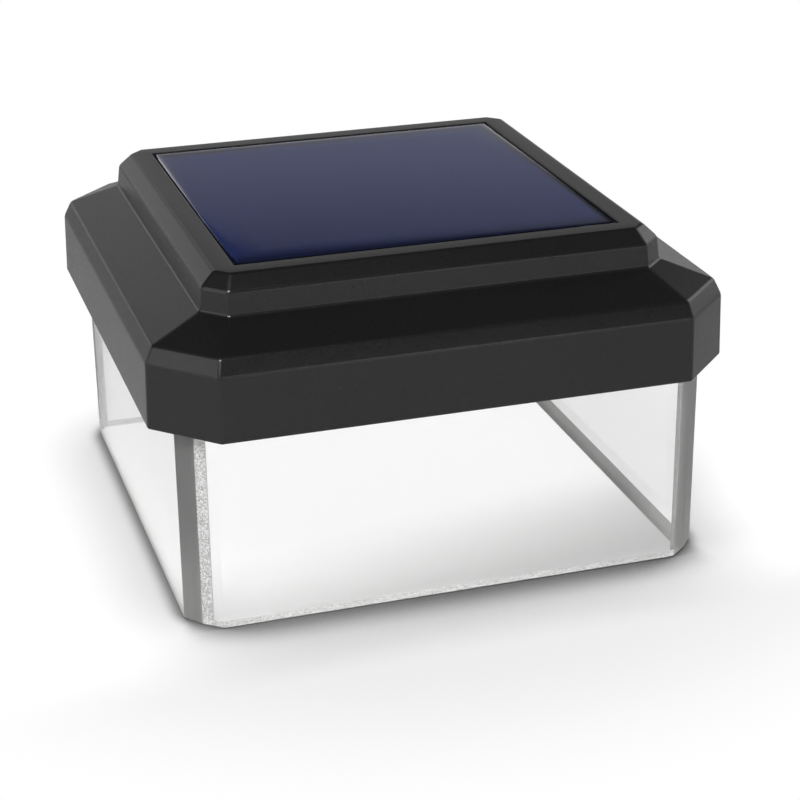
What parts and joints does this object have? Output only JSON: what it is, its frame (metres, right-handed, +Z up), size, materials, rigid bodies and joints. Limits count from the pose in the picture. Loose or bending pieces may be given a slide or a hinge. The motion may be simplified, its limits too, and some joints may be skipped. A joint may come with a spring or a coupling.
{
  "type": "deck post cap light",
  "caption": "Square solar cap light for a deck post: a black stepped cap with a flush solar panel, over a clear chamfered box that is open at the bottom and slips over the post.",
  "frame": {"origin": "middle of the clear box's bottom rim, where the light stands on a table", "axes": "+Z up, the front faces -Y; the battery door's hinge runs along X at the rear, and the switch is in front"},
  "size_m": [0.108, 0.108, 0.063],
  "materials": {
    "cap_abs": "fine moulded grain",
    "panel_cover": "gloss",
    "silicon": "satin",
    "panel_board": "matt",
    "foam_tape": "matt",
    "clear_acrylic": "clear, polished",
    "white_abs": "satin",
    "gasket_rubber": "matt",
    "plated_steel": "zinc plated",
    "lamp_board": "white solder mask",
    "lamp": "phosphor gel",
    "driver_board": "green solder mask",
    "chip_epoxy": "matt",
    "ferrite": "wound core",
    "capacitor_sleeve": "shrink sleeve",
    "battery_sleeve": "shrink sleeve",
    "black_nylon": "satin",
    "lead_red": "PVC",
    "lead_black": "PVC"
  },
  "bodies": {
    "light": {"cap_shell": "cap_abs", "panel_cover": "panel_cover", "solar_cells": "silicon", "panel_board": "panel_board", "panel_tape": "foam_tape", "lens_box": "clear_acrylic", "base_plate": "white_abs", "base_gasket": "gasket_rubber", "lens_screws": "plated_steel", "lamp_board": "lamp_board", "lamps": "lamp", "driver_board": "driver_board", "driver_screws": "plated_steel", "driver_chip": "chip_epoxy", "inductor": "ferrite", "capacitor": "capacitor_sleeve", "diode": "chip_epoxy", "switch_body": "plated_steel", "battery_cell": "battery_sleeve", "battery_spring": "plated_steel", "contact_positive": "plated_steel", "contact_negative": "plated_steel", "door_pin": "plated_steel", "panel_lead_red": "lead_red", "panel_lead_black": "lead_black", "battery_lead_red": "lead_red", "battery_lead_black": "lead_black", "lamp_lead_red": "lead_red", "lamp_lead_black": "lead_black"},
    "door": {"battery_door": "white_abs"},
    "lever": {"switch_lever": "black_nylon"}
  },
  "joints": [
    {"name": "door_hinge", "type": "hinge", "parent": "light", "child": "door", "pos_m": [0, 0.02365, 0.03985], "axis": [1, 0, 0], "range_deg": [0, 100]},
    {"name": "switch_slide", "type": "slide", "parent": "light", "child": "lever", "axis": [1, 0, 0], "range_m": [0, 0.002]}
  ]
}
